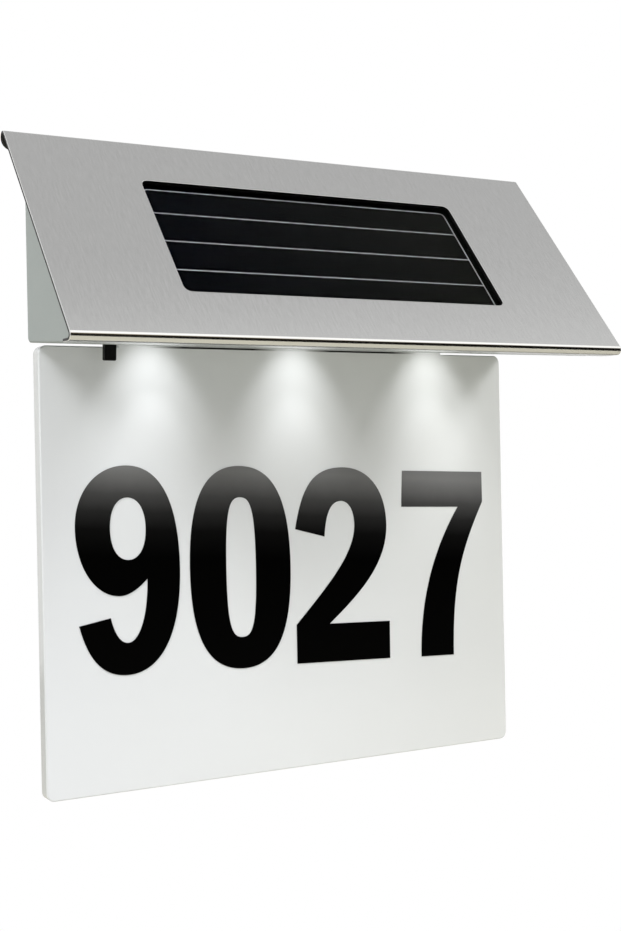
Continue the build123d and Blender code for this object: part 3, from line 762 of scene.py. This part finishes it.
# Leads: stranded copper in red and black PVC with a satin skin, which the strands below it mottle faintly.
# Two go from the solar panel to the board and two from the board to the cell's holder.
strand_mottle = 0.002
for colour, dark, light in (("red", "#9c1c18", "#b02620"), ("black", "#101010", "#1a1a1a")):
    pvc, tree, shader = new_material(colour + "_pvc")
    place = add_node(tree, "ShaderNodeTexCoord", {}).outputs["Object"]
    strands = add_node(
        tree, "ShaderNodeTexNoise", {"Vector": place, "Scale": 1 / strand_mottle, "Detail": 2.0}
    )
    skin = add_node(
        tree, "ShaderNodeValToRGB", {"Fac": strands.outputs["Fac"]}, ramp=[(0.3, dark), (0.7, light)]
    )
    set_inputs(tree, shader, {"Base Color": skin.outputs["Color"], "Roughness": 0.45})
    dress(pvc, "battery_wire_" + colour, "solar_wire_" + colour)

# LEDs: water-clear epoxy domes, soldered to the board and lit, so that they glow evenly. Their light leaves
# through the floor and washes down the panel's face, each in beams of three widths whose lamps stand inside
# the housing and cast no shadow.
flow_size = 0.001
epoxy, tree, shader = new_material("lit_epoxy")
place = add_node(tree, "ShaderNodeTexCoord", {}).outputs["Object"]
flow = add_node(tree, "ShaderNodeTexNoise", {"Vector": place, "Scale": 1 / flow_size, "Detail": 1.0})
lit = add_node(
    tree, "ShaderNodeValToRGB", {"Fac": flow.outputs["Fac"]}, ramp=[(0.3, "#f4f4f0"), (0.7, "#ffffff")]
)
set_inputs(
    tree,
    shader,
    {
        "Base Color": lit.outputs["Color"],
        "Roughness": 0.1,
        "Emission Color": lit.outputs["Color"],
        "Emission Strength": 1.5,
    },
)
dress(epoxy, "led_left", "led_centre", "led_right")

beam_radius, beam_shift, beam_y, aim_y, aim_z = 0.0005, 0.0016, -0.024, -0.005, -0.110
beams = (("upper", -0.006, 52, 0.052), ("middle", -0.016, 62, 0.079), ("lower", -0.028, 50, 0.048))
for name, aim_x in (("led_left", -0.0540), ("led_centre", 0.0007), ("led_right", 0.0597)):
    low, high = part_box(name)
    aim = Vector((aim_x, aim_y, aim_z))
    for beam_name, height, spread, watts in beams:
        beam_data = bpy.data.lights.new(name + "_" + beam_name, "SPOT")
        beam_data.energy = watts
        beam_data.spot_size = np.radians(spread)
        beam_data.spot_blend = 1.0
        beam_data.shadow_soft_size = beam_radius
        beam_data.use_shadow = False
        beam = bpy.data.objects.new(name + "_" + beam_name, beam_data)
        source = Vector(((low.x + high.x) / 2 + beam_shift, beam_y, height))
        facing = (source - aim).to_track_quat("Z", "Y").to_matrix().to_4x4()
        beam.matrix_world = Matrix.Translation(source) @ facing
        bpy.context.scene.collection.objects.link(beam)


# Studio: a pale floor below the light, a white surround, and soft lamps from both sides, in front and behind.
def stage_card(name, corners, colour, glow=0.0):
    """A plain rectangle of the studio, either painted or evenly glowing, with its tree and shader."""
    mesh = bpy.data.meshes.new(name)
    mesh.from_pydata(corners, [], [(0, 1, 2, 3)])
    paint, tree, shader = new_material(name)
    set_inputs(
        tree,
        shader,
        {
            "Base Color": linear("#000000" if glow else colour),
            "Roughness": 0.9,
            "Specular IOR Level": 0.0,
            "Emission Color": linear(colour),
            "Emission Strength": glow,
        },
    )
    mesh.materials.append(paint)
    card = bpy.data.objects.new(name, mesh)
    bpy.context.scene.collection.objects.link(card)
    return card, tree, shader


# The floor is white to the camera and through glass, and pale to everything else.
reach, floor_z = 2, -0.45
_, tree, shader = stage_card(
    "pale_floor",
    [(-reach, -reach, floor_z), (reach, -reach, floor_z), (reach, reach, floor_z), (-reach, reach, floor_z)],
    "#dedbd0",
)
rays = add_node(tree, "ShaderNodeLightPath", {})
seen = add_node(
    tree,
    "ShaderNodeMath",
    {0: rays.outputs["Is Camera Ray"], 1: rays.outputs["Is Transmission Ray"]},
    operation="MAXIMUM",
)
white = add_node(tree, "ShaderNodeEmission", {"Color": linear("#ffffff"), "Strength": 1.0})
mixed = add_node(
    tree, "ShaderNodeMixShader", {0: seen.outputs[0], 1: shader.outputs[0], 2: white.outputs[0]}
)
set_inputs(tree, tree.nodes["Material Output"], {"Surface": mixed.outputs[0]})

# Cards that only reflections see: a black one in front, which the vinyl and the canopy's lip mirror, and a
# grey ceiling over the canopy's slope.
card_low, card_high, ceiling_z = -0.26, 0.20, 1.1
black_card, _, _ = stage_card(
    "black_card",
    [(-0.15, -0.75, card_low), (0.75, -0.35, card_low), (0.75, -0.35, card_high), (-0.15, -0.75, card_high)],
    "#010101",
)
grey_ceiling, _, _ = stage_card(
    "grey_ceiling",
    [(-0.8, -0.20, ceiling_z), (1.8, -0.10, ceiling_z), (1.8, 1.4, ceiling_z), (-0.8, 1.4, ceiling_z)],
    "#d7d7d7",
    glow=1.0,
)
for card in (black_card, grey_ceiling):
    card.visible_camera = card.visible_diffuse = card.visible_transmission = card.visible_shadow = False

# The surround is white to the camera, in reflections and through glass, and lights the rest at a quarter.
world = bpy.data.worlds.new("white_surround")
bpy.context.scene.world = world
world.use_nodes = True
tree = world.node_tree
rays = add_node(tree, "ShaderNodeLightPath", {})
bright = add_node(
    tree,
    "ShaderNodeMath",
    {0: rays.outputs["Is Camera Ray"], 1: rays.outputs["Is Glossy Ray"]},
    operation="MAXIMUM",
)
bright = add_node(
    tree,
    "ShaderNodeMath",
    {0: bright.outputs[0], 1: rays.outputs["Is Transmission Ray"]},
    operation="MAXIMUM",
)
level = add_node(tree, "ShaderNodeMapRange", {"Value": bright.outputs[0], "To Min": 0.25, "To Max": 1.0})
set_inputs(
    tree, tree.nodes["Background"], {"Color": linear("#ffffff"), "Strength": level.outputs["Result"]}
)

# The lamps are square and soft, aim at the panel's upper part, and don't show in reflections.
lamp_aim = Vector((0, 0, -0.08))
for name, stand, size, watts in (
    ("front_left", (-0.85, -0.80, 0.95), 0.9, 6.8),
    ("side_left", (-1.10, -0.45, 0.95), 0.5, 12.2),
    ("side_right", (1.00, -0.70, 0.90), 0.5, 11.0),
    ("front_right", (0.90, -0.90, 0.60), 0.5, 2.2),
    ("front", (0.0, -1.20, 0.0), 0.9, 1.3),
    ("behind", (0.2, 1.20, 0.40), 0.9, 8.0),
):
    lamp_data = bpy.data.lights.new(name, "AREA")
    lamp_data.shape = "SQUARE"
    lamp_data.size = size
    lamp_data.energy = watts
    lamp = bpy.data.objects.new(name, lamp_data)
    facing = (Vector(stand) - lamp_aim).to_track_quat("Z", "Y").to_matrix().to_4x4()
    lamp.matrix_world = Matrix.Translation(stand) @ facing
    lamp.visible_glossy = False
    bpy.context.scene.collection.objects.link(lamp)
